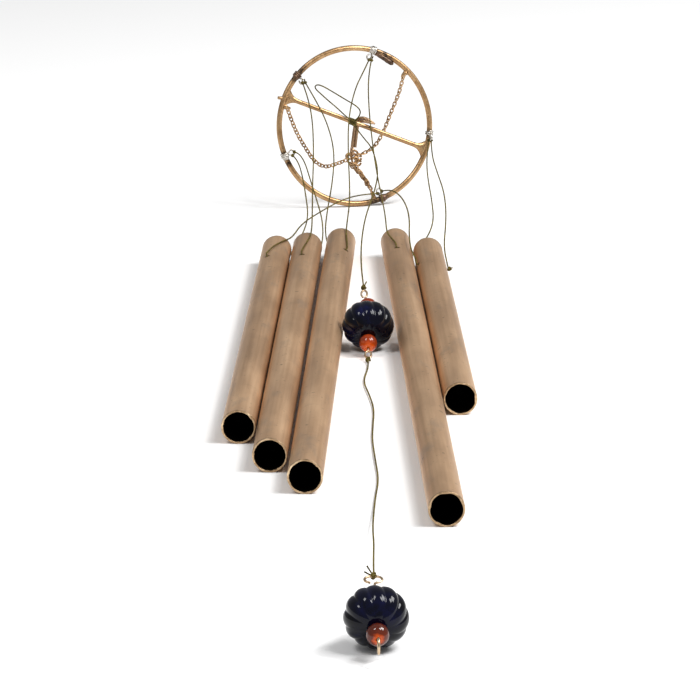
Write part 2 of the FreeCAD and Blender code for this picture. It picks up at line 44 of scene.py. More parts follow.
CAMERA_LENS, CAMERA_SENSOR, CAMERA_TILT = 216, 36, math.radians(76)
CAMERA_PLACE = (0, -1.5715, 0.406)
FLOOR_HALF, FLOOR_WHITE, FLOOR_ROUGHNESS = 4.0, 0.93, 0.9
WORLD_STRENGTH = 0.34
# Each light's place, width, height and power in watts. They all face the origin.
LIGHTS = {
    "key": ((1.3, 0.0, 1.6), 0.8, 0.8, 34),
    "left_box": ((-0.75, -0.5, 1.6), 0.3, 0.6, 9),
    "right_box": ((0.75, -0.5, 1.6), 0.3, 0.6, 12),
}

RING_LEAN, RING_YAW = math.radians(10), math.radians(15)
RING_RADIUS, RING_WIRE = 35.95 * MM, 2.6 * MM
BAR_SLOPE, BAR_OFFSET = math.radians(22.5), 1.43 * MM
BAR_LENGTH, BAR_THICKNESS = 70.6 * MM, 2.2 * MM
BRAZE_REACH, BRAZE_FLARE = 5.6 * MM, 3.7 * MM
LAP_START, LAP_END = 54.5, 73
CLIP_WIRE, CLIP_TURNS, CLIP_HALF_WIDTH = 0.8 * MM, 2.3, 0.95 * MM
CLIP_EYE_RADIUS, CLIP_EYE_WIRE = 1.3 * MM, 0.72 * MM
LINK_PITCH, LINK_LENGTH, LINK_WIDTH, LINK_WIRE = 1.7 * MM, 2.75 * MM, 2.0 * MM, 0.6 * MM
HOOK_WIRE, HOOK_TIP_WIRE, HOOK_TAPER_START = 1.44 * MM, 0.48 * MM, 0.72
HOOK_EYE_RADIUS, HOOK_EYE_WIRE = 1.9 * MM, 1.04 * MM
JUNCTION_WIRE = 1.0 * MM

TUBE_OUTER, TUBE_WALL = 12.7 * MM, 0.65 * MM
SAW_SMEAR = 1.3 * MM
RIM_POINTS, RIM_BURR, RIM_BITE = 150, 0.10 * MM, 0.34 * MM

BEAD_HALF, LOBE_ARC, LOBE_OFFSET, BORE = 8.25 * MM, 8.417 * MM, 1.833 * MM, 0.6 * MM
LOBE_DEPTH, LOBE_LEAN = 0.09, 0.16
SPACER_RADIUS = 3.6 * MM
PIN_WIRE, PIN_SHAFT, EYE_RADIUS, EYE_REACH = 0.85 * MM, 32.2 * MM, 2.35 * MM, 19.3 * MM

STRING_THICKNESS, PLY_PITCH, STRING_STEP = 0.7 * MM, 2.6 * MM, 0.45 * MM
# Where each string lies, from end to end. A tube's string runs from a clip through both holes
# of its tube and back to the next clip.
STRINGS = {
    "tube_string_1": [
        (0.01275, 0.3349, 0.0054), (0.0062, 0.3215, 0.0079), (-0.003, 0.301, 0.01),
        (-0.0135, 0.27, 0.0106), (-0.0215, 0.243, 0.011), (-0.0252, 0.2173, 0.0105),
        (-0.0285, 0.2014, 0.0127), (-0.0328, 0.1875, 0.0135), (-0.0355, 0.1772, 0.0128),
        (-0.0357, 0.1743, 0.0131), (-0.0352, 0.1725, 0.0118), (-0.0336, 0.1719, 0.0088),
        (-0.0312, 0.172, 0.0045), (-0.0296, 0.1723, 0.0015), (-0.0288, 0.1741, 0.0004),
        (-0.0288, 0.177, 0.0006), (-0.0286, 0.1854, 0.0006), (-0.028, 0.1994, 0.0006),
        (-0.0264, 0.22, 0.0019), (-0.0216, 0.238, 0.0056), (-0.0184, 0.262, 0.0098),
        (-0.0202, 0.29, 0.0154), (-0.0219, 0.311, 0.0196), (-0.0242, 0.324, 0.0236),
        (-0.0264, 0.328, 0.0248)],
    "tube_string_2": [
        (-0.0219, 0.335, 0.0576), (-0.0194, 0.3332, 0.0512), (-0.0171, 0.325, 0.0416),
        (-0.0165, 0.304, 0.0292), (-0.0168, 0.2727, 0.0215), (-0.0166, 0.24, 0.0162),
        (-0.0167, 0.2124, 0.0133), (-0.0184, 0.1975, 0.0133), (-0.0198, 0.1865, 0.0133),
        (-0.0206, 0.1791, 0.0133), (-0.0207, 0.1762, 0.0135), (-0.0206, 0.1744, 0.0122),
        (-0.0194, 0.1739, 0.0091), (-0.0176, 0.174, 0.0046), (-0.0164, 0.1743, 0.0015),
        (-0.0156, 0.1761, 0.0004), (-0.0156, 0.179, 0.0006), (-0.0154, 0.1874, 0.0006),
        (-0.0149, 0.2024, 0.0005), (-0.014, 0.2195, 0.0012), (-0.0118, 0.2325, 0.0064),
        (-0.0122, 0.252, 0.0108), (-0.0146, 0.274, 0.0142), (-0.0179, 0.299, 0.0189),
        (-0.0206, 0.317, 0.0238), (-0.0236, 0.325, 0.0266), (-0.0257, 0.3284, 0.0264)],
    "tube_string_3": [
        (0.0088, 0.3451, 0.0664), (0.0063, 0.344, 0.0612), (0.0022, 0.3388, 0.0538),
        (-0.0008, 0.326, 0.0423), (-0.0008, 0.301, 0.0302), (-0.0002, 0.275, 0.0239),
        (-0.0001, 0.252, 0.0186), (-0.0017, 0.2214, 0.0132), (-0.0015, 0.2084, 0.0127),
        (-0.0012, 0.1984, 0.0124), (-0.0012, 0.192, 0.0122), (-0.0011, 0.1891, 0.0124),
        (-0.0019, 0.1873, 0.0113), (-0.0038, 0.1869, 0.0085), (-0.0066, 0.1871, 0.0044),
        (-0.0085, 0.1875, 0.0015), (-0.0092, 0.1893, 0.0004), (-0.009, 0.1922, 0.0006),
        (-0.0088, 0.2006, 0.0006), (-0.0084, 0.2146, 0.0006), (-0.0089, 0.2325, 0.0014),
        (-0.0112, 0.248, 0.0056), (-0.0102, 0.268, 0.0116), (-0.0078, 0.291, 0.0204),
        (-0.007, 0.311, 0.0304), (-0.0106, 0.3255, 0.0412), (-0.017, 0.3336, 0.0518),
        (-0.0206, 0.3354, 0.0575)],
    "tube_string_4": [
        (0.0099, 0.3453, 0.0662), (0.0085, 0.3436, 0.06), (0.0085, 0.336, 0.048),
        (0.01, 0.317, 0.0346), (0.0122, 0.29, 0.0236), (0.0144, 0.262, 0.0182),
        (0.0157, 0.238, 0.0148), (0.016, 0.2194, 0.0123), (0.0178, 0.2074, 0.0128),
        (0.0191, 0.1985, 0.0132), (0.0198, 0.1926, 0.0133), (0.0198, 0.1897, 0.0135),
        (0.0201, 0.1879, 0.0122), (0.0214, 0.1874, 0.0091), (0.0232, 0.1876, 0.0046),
        (0.0244, 0.188, 0.0015), (0.0251, 0.1898, 0.0004), (0.0249, 0.1927, 0.0006),
        (0.0247, 0.2006, 0.0006), (0.0245, 0.2126, 0.0005), (0.0272, 0.221, 0.0015),
        (0.0335, 0.236, 0.0052), (0.0374, 0.26, 0.008), (0.0372, 0.288, 0.0112),
        (0.0356, 0.318, 0.0166), (0.0354, 0.336, 0.0222), (0.0366, 0.3432, 0.0289)],
    "tube_string_5": [
        (0.0147, 0.3354, 0.0064), (0.0187, 0.3216, 0.0104), (0.0232, 0.3, 0.0116),
        (0.0257, 0.272, 0.0122), (0.0263, 0.24, 0.0132), (0.0256, 0.208, 0.014),
        (0.026, 0.183, 0.0129), (0.0282, 0.1768, 0.0103), (0.0282, 0.1727, 0.0092),
        (0.0294, 0.1712, 0.0086), (0.0327, 0.1709, 0.008), (0.0375, 0.1711, 0.0071),
        (0.0408, 0.1716, 0.0066), (0.0421, 0.1734, 0.0066), (0.0417, 0.1765, 0.007),
        (0.0414, 0.1837, 0.0078), (0.0409, 0.1977, 0.0084), (0.041, 0.214, 0.0094),
        (0.0422, 0.24, 0.0106), (0.043, 0.268, 0.0122), (0.0426, 0.296, 0.0148),
        (0.0401, 0.3205, 0.0183), (0.0378, 0.3365, 0.0232), (0.0377, 0.3433, 0.0289)],
    "centre_string": [
        (0.0021, 0.3356, 0.0372), (0.006, 0.3325, 0.0324), (0.0097, 0.3245, 0.0298),
        (0.0119, 0.3103, 0.0262), (0.0127, 0.2932, 0.0232), (0.0114, 0.2734, 0.0209),
        (0.0095, 0.2539, 0.0195), (0.007, 0.227, 0.0185), (0.0054, 0.195, 0.0179),
        (0.0046, 0.159, 0.018), (0.0047, 0.1205, 0.019), (0.0052, 0.092, 0.0203),
        (0.0055, 0.0783, 0.0207)],
    "string_tail": [
        (0.0007, 0.3358, 0.0396), (-0.0023, 0.3335, 0.0424), (-0.0057, 0.3308, 0.0463),
        (-0.0101, 0.3292, 0.0503), (-0.0135, 0.3286, 0.0536), (-0.0157, 0.3286, 0.0556),
        (-0.0162, 0.3287, 0.057), (-0.015, 0.3289, 0.0578), (-0.0124, 0.3291, 0.057),
        (-0.0074, 0.3292, 0.054), (-0.0018, 0.3294, 0.0505), (0.0023, 0.3302, 0.048),
        (0.0048, 0.3317, 0.0454), (0.0046, 0.3336, 0.0424), (0.0026, 0.3357, 0.0397)],
    "lower_string": [
        (0.00715, 0.0362, 0.0013), (0.0072, 0.0302, 0.0008), (0.0068, 0.022, 0.0007),
        (0.0051, 0.0036, 0.0007), (0.0073, -0.0159, 0.0008), (0.0091, -0.0369, 0.0007),
        (0.0086, -0.0599, 0.0006), (0.0081, -0.0812, 0.0007), (0.0092, -0.1118, 0.0008),
        (0.0102, -0.1357, 0.0007), (0.0089, -0.1588, 0.0008), (0.0081, -0.1816, 0.001),
        (0.0077, -0.206, 0.003), (0.0079, -0.234, 0.0069), (0.0077, -0.262, 0.0116),
        (0.0075, -0.286, 0.0152), (0.0075, -0.3056, 0.0171)],
}

# Chain routes in the ring's own frame (right, up, in front). The lower chain hangs doubled up.
CHAINS = {
    "left": [
        (-0.0316, 0.0093, 0), (-0.0298, 0.0036, -0.0003), (-0.0273, -0.0026, -0.0008),
        (-0.0236, -0.009, -0.0014), (-0.0196, -0.0155, -0.0019), (-0.0147, -0.0185, -0.0025),
        (-0.0095, -0.0174, -0.0022), (-0.0043, -0.0158, -0.0031)],
    "right": [
        (0.0243, 0.0218, 0), (0.0227, 0.0155, -0.0008), (0.0204, 0.0096, -0.0024),
        (0.0172, 0.0026, -0.003), (0.014, -0.0046, -0.0034), (0.0106, -0.0094, -0.0034),
        (0.0069, -0.0121, -0.003), (0.002, -0.0138, -0.0031)],
    "lower": [
        (0.0070, -0.0317, 0.0001), (0.0070, -0.0285, -0.0030), (0.0052, -0.0258, -0.0046),
        (0.0012, -0.0205, -0.0052), (-0.0014, -0.0182, -0.0058), (-0.0012, -0.0172, -0.0074),
        (0.0016, -0.0196, -0.0080), (0.0056, -0.0246, -0.0078), (0.0075, -0.0276, -0.0076),
        (0.0073, -0.0292, -0.0058), (0.0058, -0.0278, -0.0050), (0.0040, -0.0240, -0.0030),
        (0.0016, -0.0206, -0.0022), (-0.0004, -0.0175, -0.0031)],
}

# The string clips: place round the ring in degrees, then the eye's centre as its distance
# along the ring, inwards and in front.
CLIPS = {
    "a": (137.0, 0.0006, 0.0035, 0.0),
    "b": (199.5, 0.0, 0.0035, 0.0),
    "c": (73.0, 0.001, 0.0035, 0.0),
    "d": (352.0, -0.002, 0.0, 0.0029),
    "e": (288.5, 0.0, 0.0035, 0.0),
}
# Where each chain's stub sits round the ring, in degrees.
CHAIN_ANCHORS = {"left": 162.3, "right": 42.5, "lower": 282.5}
# How far each chain is turned about its own run, in degrees.
CHAIN_LEANS = {"left": 5, "right": 50, "lower": 25}
# Scorched places round the ring, each with its half width, in degrees.
BURNS = [(134, 8), (139, 6), (64, 9), (72, 5), (199, 7), (205, 4), (352, 4), (287, 10), (281, 6)]
# The junction of the chains and the hook, in the ring's own frame.
JUNCTION = (-0.001, -0.0152, -0.0031)
HOOK_EYE = (-0.001, -0.01175, -0.0031)
HOOK_ROUTE = [
    (-0.0002, -0.0099, -0.0031), (0.0014, -0.001, -0.0036), (0.0022, 0.0030, -0.0024),
    (0.0054, 0.0026, 0.0016), (0.0092, 0.0004, 0.0023)]
# Each junction ring's centre from the junction, its radius in millimetres and its tilts in degrees.
JUNCTION_RINGS = [
    ((0.0, 0.0, 0.0), 2.5, (0, 0)), ((0.0008, 0.0020, 0.0003), 1.8, (40, 25)),
    ((0.0026, 0.0004, 0.0003), 1.6, (-30, 40)), ((0.0024, -0.0018, 0.0006), 1.4, (20, -35)),
    ((-0.0018, 0.0012, 0.0004), 1.3, (-45, 10)), ((0.0010, -0.0008, 0.0009), 1.5, (65, 0))]
BAR_KNOT, BAR_KNOT_TURNS, BAR_KNOT_HALF_WIDTH = (0.0016, 0.3358, 0.0384), 4, 1.6 * MM
TUBE_KNOT = (0.04235, 0.1729, 0.0067)

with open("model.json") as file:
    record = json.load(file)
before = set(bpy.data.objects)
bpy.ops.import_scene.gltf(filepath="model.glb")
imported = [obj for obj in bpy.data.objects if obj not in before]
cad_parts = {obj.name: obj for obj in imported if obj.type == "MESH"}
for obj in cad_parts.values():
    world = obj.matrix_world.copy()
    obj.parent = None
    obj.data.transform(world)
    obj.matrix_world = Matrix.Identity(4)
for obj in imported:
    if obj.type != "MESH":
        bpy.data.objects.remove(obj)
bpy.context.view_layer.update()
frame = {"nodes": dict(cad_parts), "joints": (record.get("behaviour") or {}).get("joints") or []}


# ---- camera, floor and light

def make_camera():
    data = bpy.data.cameras.new("camera")
    data.lens = CAMERA_LENS
    data.sensor_width = CAMERA_SENSOR
    data.clip_end = 20
    camera = bpy.data.objects.new("camera", data)
    camera.location = CAMERA_PLACE
    camera.rotation_euler = (CAMERA_TILT, 0, 0)
    bpy.context.scene.collection.objects.link(camera)
    bpy.context.scene.camera = camera


def make_floor():
    half = FLOOR_HALF
    mesh = bpy.data.meshes.new("floor")
    mesh.from_pydata([(-half, -half, 0), (half, -half, 0), (half, half, 0), (-half, half, 0)],
                     [], [(0, 1, 2, 3)])
    floor = bpy.data.objects.new("floor", mesh)
    bpy.context.scene.collection.objects.link(floor)
    material = bpy.data.materials.new("floor_white")
    material.use_nodes = True
    shader = material.node_tree.nodes["Principled BSDF"]
    shader.inputs["Base Color"].default_value = (FLOOR_WHITE, FLOOR_WHITE, FLOOR_WHITE, 1)
    shader.inputs["Roughness"].default_value = FLOOR_ROUGHNESS
    mesh.materials.append(material)


def area_light(name, place, width, height, power):
    data = bpy.data.lights.new(name, "AREA")
    data.shape = "RECTANGLE"
    data.size, data.size_y = width, height
    data.energy = power
    light = bpy.data.objects.new(name, data)
    light.location = place
    light.rotation_euler = (Vector() - Vector(place)).to_track_quat("-Z", "Y").to_euler()
    bpy.context.scene.collection.objects.link(light)


def make_light():
    world = bpy.data.worlds.new("studio")
    world.use_nodes = True
    world.node_tree.nodes["Background"].inputs["Color"].default_value = (1, 1, 1, 1)
    world.node_tree.nodes["Background"].inputs["Strength"].default_value = WORLD_STRENGTH
    bpy.context.scene.world = world
    for name, facts in LIGHTS.items():
        area_light(name, *facts)
    bpy.context.scene.view_settings.view_transform = "Standard"


# ---- meshes

def to_object(name, points, faces, material, body=None, slot=None, stands_for=()):
    """A smooth mesh piece. With no body it stays loose."""
    mesh = bpy.data.meshes.new(name)
    mesh.from_pydata([tuple(map(float, p)) for p in points], [], faces)
    mesh.shade_smooth()
    mesh.materials.append(material)
    piece = bpy.data.objects.new(name, mesh)
    bpy.context.scene.collection.objects.link(piece)
    if body:
        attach(piece, body)
    if stands_for:
        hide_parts(*stands_for)
    return piece


class Shape:
    """Points and faces gathered from several swept or turned forms."""

    def __init__(self):
        self.points, self.faces = [], []

    def add(self, points, faces):
        base = len(self.points)
        self.points.extend(points)
        self.faces.extend([tuple(base + i for i in face) for face in faces])

    def rings(self, rings, closed=False):
        """Skins a run of point rings of one count. An open run is capped at both ends."""
        rings = np.array(rings, float)
        count, sides = rings.shape[:2]
        faces = []
        for i in range(count if closed else count - 1):
            a, b = i * sides, ((i + 1) % count) * sides
            faces += [(a + j, a + (j + 1) % sides, b + (j + 1) % sides, b + j)
                      for j in range(sides)]
        if not closed:
            faces.append(tuple(reversed(range(sides))))
            faces.append(tuple((count - 1) * sides + j for j in range(sides)))
        self.add(rings.reshape(-1, 3), faces)

    def object(self, name, material, **facts):
        return to_object(name, self.points, self.faces, material, **facts)


def unit(v):
    return v / np.linalg.norm(v)


def frames_along(points, closed=False):
    """Two directions square to a path at each of its points, turning as little as they can."""
    ahead = np.roll(points, -1, 0) - np.roll(points, 1, 0)
    if not closed:
        ahead[0], ahead[-1] = points[1] - points[0], points[-1] - points[-2]
    ahead = ahead / np.linalg.norm(ahead, axis=1)[:, None]
    side = np.cross(ahead[0], (0.31, 0.52, 0.79))
    sides = []
    for direction in ahead:
        side = unit(side - direction * (side @ direction))
        sides.append(side)
    sides = np.array(sides)
    return sides, np.cross(ahead, sides)


def sweep(shape, points, radius, sides=8, closed=False):
    """A round wire along points; radius may be one number or one for each point."""
    points = np.array(points, float)
    side, up = frames_along(points, closed)
    radius = np.broadcast_to(radius, len(points))
    turns = np.linspace(0, 2 * np.pi, sides, endpoint=False)
    rings = [p + r * (np.outer(np.cos(turns), s) + np.outer(np.sin(turns), u))
             for p, r, s, u in zip(points, radius, side, up)]
    shape.rings(rings, closed)


def spline_points(route):
    """Points along the smooth spline that a route's points control."""
    data = bpy.data.curves.new("route", "CURVE")
    data.dimensions = "3D"
    data.resolution_u = 24
    spline = data.splines.new("NURBS")
    spline.points.add(len(route) - 1)
    for point, place in zip(spline.points, route):
        point.co = (*place, 1)
    spline.order_u = 3
    spline.use_endpoint_u = True
    carrier = bpy.data.objects.new("route", data)
    mesh = bpy.data.meshes.new_from_object(carrier)
    points = np.array([v.co for v in mesh.vertices], float)
    bpy.data.objects.remove(carrier)
    bpy.data.curves.remove(data)
    bpy.data.meshes.remove(mesh)
    return points


def evenly(points, step):
    """The same path with points about one step apart."""
    gaps = np.linalg.norm(np.diff(points, axis=0), axis=1)
    along = np.concatenate([[0], np.cumsum(gaps)])
    places = np.linspace(0, along[-1], max(2, round(along[-1] / step) + 1))
    return np.stack([np.interp(places, along, points[:, i]) for i in range(3)], axis=1)


def path_length(points):
    return float(np.linalg.norm(np.diff(points, axis=0), axis=1).sum())


def twisted(shape, points, thickness, sides=6):
    """A laid cord: three plies wound round each other along an evenly spaced path."""
    plies = 3
    side, up = frames_along(points)
    step = path_length(points) / (len(points) - 1)
    radius = 0.25 * thickness
    offset = thickness / 2 - radius
    for ply in range(plies):
        turn = 2 * np.pi * (np.arange(len(points)) * step / PLY_PITCH + ply / plies)
        strand = points + offset * (np.cos(turn)[:, None] * side + np.sin(turn)[:, None] * up)
        sweep(shape, strand, radius, sides)


def arc(centre, first, second, radius, start, end, count):
    """Points on an arc in the plane of two unit directions, from start to end in degrees."""
    turns = np.radians(np.linspace(start, end, count))
    return (np.array(centre) + radius * (np.outer(np.cos(turns), first)
                                         + np.outer(np.sin(turns), second)))


def placed(matrix, points):
    matrix = np.array(matrix)
    return np.array(points, float) @ matrix[:3, :3].T + matrix[:3, 3]


def roughened(points, size, scale, seed):
    """Moves points a little by smooth noise."""
    shift = Vector((seed * 7.3, seed * 3.1, seed * 5.7))
    return [np.array(p) + size * np.array(noise.noise_vector(Vector(p) / scale + shift))
            for p in points]


# ---- places worked out from the frame

def middle(node):
    low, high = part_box(node)
    return (low + high) / 2


def joint(name):
    return next(j for j in frame["joints"] if j["name"] == name)


def ring_matrix():
    turn = Matrix.Rotation(RING_YAW, 4, "Z") @ Matrix.Rotation(math.pi / 2 - RING_LEAN, 4, "X")
    return Matrix.Translation(middle("ring")) @ turn


RING = ring_matrix()
# The crossbar's frame, with X along it.
BAR = RING @ Matrix.Rotation(-BAR_SLOPE, 4, "Z") @ Matrix.Translation((0, BAR_OFFSET, 0))


def on_ring(degrees):
    """A frame on the ring's wire: X outwards, Y along the wire, Z to the front."""
    turn = Matrix.Rotation(math.radians(degrees), 4, "Z")
    return RING @ turn @ Matrix.Translation((RING_RADIUS, 0, 0))


def tube_matrix(number):
    """A tube's frame: the origin in its far mouth, -Y along it."""
    lift = joint(f"tube_{number}_lift")
    axis = Vector(lift["axis"])
    turn = math.atan2(-axis.y, -axis.x)
    place = Vector(lift["pos_m"]) + Vector((0, 0, TUBE_OUTER / 2))
    return Matrix.Translation(place) @ Matrix.Rotation(turn, 4, "Z")


def tube_length(number):
    low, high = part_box(f"tube_{number}")
    lift = joint(f"tube_{number}_lift")
    sine = abs(lift["axis"][1])
    return (high.y - low.y - TUBE_OUTER * sine) / math.sqrt(1 - sine ** 2)


def bead_matrix(stack):
    """A bead stack's frame: Z along the pin to the far eye, X right, Y down."""
    spin = joint(f"{stack}_bead_spin")
    along = Vector(spin["axis"])
    turn, droop = math.atan2(-along.x, along.y), math.asin(along.z)
    rotation = (Matrix.Rotation(turn, 4, "Z")
                @ Matrix.Rotation(droop - math.pi / 2, 4, "X"))
    return Matrix.Translation(spin["pos_m"]) @ rotation


# ---- materials

class Paint:
    """A node material, with short calls for the nodes that the materials share."""

    def __init__(self, name, **sockets):
        self.material = bpy.data.materials.new(name)
        self.material.use_nodes = True
        self.tree = self.material.node_tree
        self.shader = self.tree.nodes["Principled BSDF"]
        for socket, value in sockets.items():
            self.shader.inputs[socket.replace("_", " ")].default_value = value
        coordinates = self.tree.nodes.new("ShaderNodeTexCoord")
        self.place, self.normal = coordinates.outputs["Object"], coordinates.outputs["Normal"]

    def node(self, kind, inputs, **settings):
        made = self.tree.nodes.new(kind)
        for name, value in settings.items():
            setattr(made, name, value)
        for name, value in inputs.items():
            if isinstance(value, bpy.types.NodeSocket):
                self.tree.links.new(value, made.inputs[name])
            else:
                made.inputs[name].default_value = value
        return made

    def maths(self, operation, first, second=0.0, clamp=False):
        return self.node("ShaderNodeMath", {0: first, 1: second}, operation=operation,
                         use_clamp=clamp).outputs[0]

    def local(self, matrix):
        """Object coordinates in the frame that matrix places."""
        return self.node("ShaderNodeMapping", {
            "Vector": self.place, "Location": matrix.to_translation(),
            "Rotation": matrix.to_euler()}, vector_type="TEXTURE").outputs[0]

    def stretched(self, scale, vector):
        return self.node("ShaderNodeMapping", {"Vector": vector, "Scale": scale},
                         vector_type="POINT").outputs[0]

    def noise(self, scale, detail=3.0, roughness=0.55, vector=None, distortion=0.0):
        return self.node("ShaderNodeTexNoise", {
            "Vector": vector or self.place, "Scale": scale, "Detail": detail,
            "Roughness": roughness, "Distortion": distortion}).outputs[0]

    def ramp(self, factor, *stops):
        made = self.node("ShaderNodeValToRGB", {"Fac": factor})
        elements = made.color_ramp.elements
        while len(elements) < len(stops):
            elements.new(0.5)
        for element, (place, colour) in zip(elements, stops):
            element.position = place
            element.color = (*colour, 1) if isinstance(colour, tuple) else (colour,) * 3 + (1,)
        return made.outputs[0]

    def mix(self, factor, first, second):
        inputs = {0: factor}
        for index, value in ((6, first), (7, second)):
            inputs[index] = (*value, 1) if isinstance(value, tuple) else value
        return self.node("ShaderNodeMix", inputs, data_type="RGBA").outputs[2]

    def step(self, value, low, high):
        """0 where value is under low, rising to 1 where it is over high."""
        return self.ramp(value, (low, 0.0), (high, 1.0))

    def stain(self, colour, mask, strength, shade):
        """Lays a shade over colour where mask is 1, as strongly as strength says."""
        return self.mix(self.maths("MULTIPLY", mask, strength), colour, shade)

    def radius(self, first, second):
        return self.maths("SQRT", self.maths("ADD", self.maths("MULTIPLY", first, first),
                                             self.maths("MULTIPLY", second, second)))

    def weighted(self, first, share, second, rest):
        """The sum of two values, each taken by its share."""
        return self.maths("ADD", self.maths("MULTIPLY", first, share),
                          self.maths("MULTIPLY", second, rest))

    def scaled(self, value, scale, start):
        """A value times a scale, counted up from start."""
        return self.maths("ADD", self.maths("MULTIPLY", value, scale), start)

    def near(self, value, centre, width):
        """1 where value is at centre, falling to 0 a width away."""
        gap = self.maths("ABSOLUTE", self.maths("SUBTRACT", value, centre))
        return self.maths("SUBTRACT", 1.0, self.maths("DIVIDE", gap, width), clamp=True)

    def finish(self, colour, roughness=None, height=None, depth=0.1 * MM, strength=0.6):
        self.tree.links.new(colour, self.shader.inputs["Base Color"])
        if roughness is not None:
            self.tree.links.new(roughness, self.shader.inputs["Roughness"])
        if height is not None:
            bump = self.node("ShaderNodeBump", {"Height": height, "Distance": depth,
                                                "Strength": strength})
            self.tree.links.new(bump.outputs[0], self.shader.inputs["Normal"])
        return self.material


def tarnish(paint, place, streaks, clouds, rubs):
    """Brown copper, dulled to grey in patches and marked by rubbing and specks."""
    colour = paint.ramp(paint.weighted(streaks, 0.45, clouds, 0.55), (0.34, (0.44, 0.27, 0.15)),
                        (0.5, (0.58, 0.375, 0.22)), (0.66, (0.72, 0.49, 0.30)))
    dulled = paint.noise(1.0, 5.0, 0.62, paint.stretched((110, 34, 110), place))
    specks = paint.noise(520.0, 2.0, 0.5, place)
    colour = paint.stain(colour, paint.step(dulled, 0.56, 0.72), 0.45, (0.32, 0.25, 0.195))
    colour = paint.stain(colour, paint.step(rubs, 0.6, 0.74), 0.22, (0.20, 0.14, 0.10))
    return paint.stain(colour, paint.step(specks, 0.69, 0.73), 0.55, (0.10, 0.07, 0.05))


def tube_ends(paint, colour, number, local, place):
    """Dark smears of the saw before each end, bright sawn faces and a bore painted near-black as
    painted shade.
    """
    x, y, z = paint.node("ShaderNodeSeparateXYZ", {0: local}).outputs
    edge = paint.maths("ADD", paint.near(y, 0.0, SAW_SMEAR),
                       paint.near(y, -tube_length(number), SAW_SMEAR), clamp=True)
    smear = paint.step(paint.noise(420.0, 4.0, 0.7, place), 0.42, 0.6)
    colour = paint.stain(colour, edge, smear, (0.09, 0.06, 0.045))
    _, facing, _ = paint.node("ShaderNodeSeparateXYZ", {0: paint.normal}).outputs
    sawn = paint.maths("GREATER_THAN", paint.maths("ABSOLUTE", facing), 0.7)
    colour = paint.mix(sawn, colour, (0.68, 0.50, 0.31))
    # The bore's inner wall is painted near-black: painted shade inside the tube, not the copper's
    # own colour.
    painted_bore_shade = paint.maths("LESS_THAN", paint.radius(x, z), TUBE_OUTER / 2 - 0.7 * TUBE_WALL)
    return paint.stain(colour, painted_bore_shade, paint.maths("SUBTRACT", 1.0, sawn), (0.010, 0.007, 0.005))


def copper_tube(number):
    """Weathered copper with faint drawn streaks, bright sawn ends and a bore painted near-black as
    painted shade.
    """
    paint = Paint(f"copper_tube_{number}", Metallic=0.85, Specular_IOR_Level=0.2)
    local = paint.local(tube_matrix(number))
    place = paint.node("ShaderNodeVectorMath", {0: local, 1: (number * 0.37, 0, 0)}).outputs[0]
    streaks = paint.noise(1.0, 3.0, vector=paint.stretched((420, 9, 420), place))
    clouds = paint.noise(1.0, 4.0, 0.6, paint.stretched((70, 16, 70), place))
    rubs = paint.noise(1.0, 4.0, 0.65, paint.stretched((90, 620, 90), place))
    colour = tarnish(paint, place, streaks, clouds, rubs)
    colour = tube_ends(paint, colour, number, local, place)
    height = paint.maths("ADD", streaks, paint.maths("MULTIPLY", rubs, 0.5))
    return paint.finish(colour, paint.scaled(clouds, 0.25, 0.36), height, 0.05 * MM, 0.35)


def brass_wire(name, dark, mid, light, burns=(), metallic=0.85):
    """Satin brass-copper wire; burns are places round the ring, in degrees, and their width."""
    paint = Paint(name, Metallic=metallic)
    clouds = paint.noise(120.0, 4.0, 0.6)
    fine = paint.noise(900.0, 3.0, 0.6)
    tone = paint.weighted(clouds, 0.7, fine, 0.3)
    colour = paint.ramp(tone, (0.34, dark), (0.5, mid), (0.66, light))
    if burns:
        x, y, _ = paint.node("ShaderNodeSeparateXYZ", {0: paint.local(RING)}).outputs
        angle = paint.maths("ARCTAN2", y, x)
        for degrees, width in burns:
            place = math.radians(degrees if degrees <= 180 else degrees - 360)
            mask = paint.near(angle, place, math.radians(width))
            broken = paint.maths("MULTIPLY", mask, paint.ramp(
                paint.noise(520.0, 4.0, 0.65), (0.36, 0.35), (0.6, 1.6)), clamp=True)
            colour = paint.mix(broken, colour, (0.055, 0.035, 0.02))
    return paint.finish(colour, paint.scaled(fine, 0.26, 0.2), tone, 0.08 * MM, 0.5)


def solder():
    """Silvery solder and tinned wire, lumpy and dulled in its hollows."""
    paint = Paint("solder", Metallic=0.9)
    lumps = paint.noise(700.0, 4.0, 0.6)
    colour = paint.ramp(lumps, (0.34, (0.16, 0.12, 0.08)), (0.47, (0.52, 0.48, 0.42)),
                        (0.64, (0.80, 0.78, 0.74)))
    return paint.finish(colour, paint.scaled(lumps, 0.4, 0.15), lumps, 0.15 * MM, 0.8)


def cord_fibre():
    """Waxed olive-brown cord."""
    paint = Paint("cord_fibre", Specular_IOR_Level=0.2)
    tint = paint.noise(260.0, 3.0, 0.6)
    fuzz = paint.noise(5200.0, 2.0, 0.6)
    colour = paint.ramp(tint, (0.36, (0.07, 0.052, 0.008)), (0.52, (0.13, 0.098, 0.016)),
                        (0.68, (0.20, 0.15, 0.028)))
    colour = paint.mix(paint.ramp(fuzz, (0.4, 0.0), (0.62, 0.45)), colour, (0.03, 0.026, 0.012))
    return paint.finish(colour, paint.scaled(fuzz, 0.3, 0.5), fuzz, 0.04 * MM, 0.6)


def melon_glass():
    """Glossy glass that is almost black, with a navy depth."""
    paint = Paint("melon_glass", IOR=1.5, Specular_IOR_Level=0.2)
    depth = paint.noise(95.0, 3.0, 0.5, distortion=0.8)
    colour = paint.ramp(depth, (0.36, (0.0012, 0.0012, 0.003)), (0.55, (0.002, 0.0024, 0.010)),
                        (0.72, (0.004, 0.005, 0.036)))
    ripple = paint.noise(240.0, 2.0, 0.5)
    return paint.finish(colour, paint.scaled(ripple, 0.06, 0.07), ripple, 0.05 * MM, 0.05)


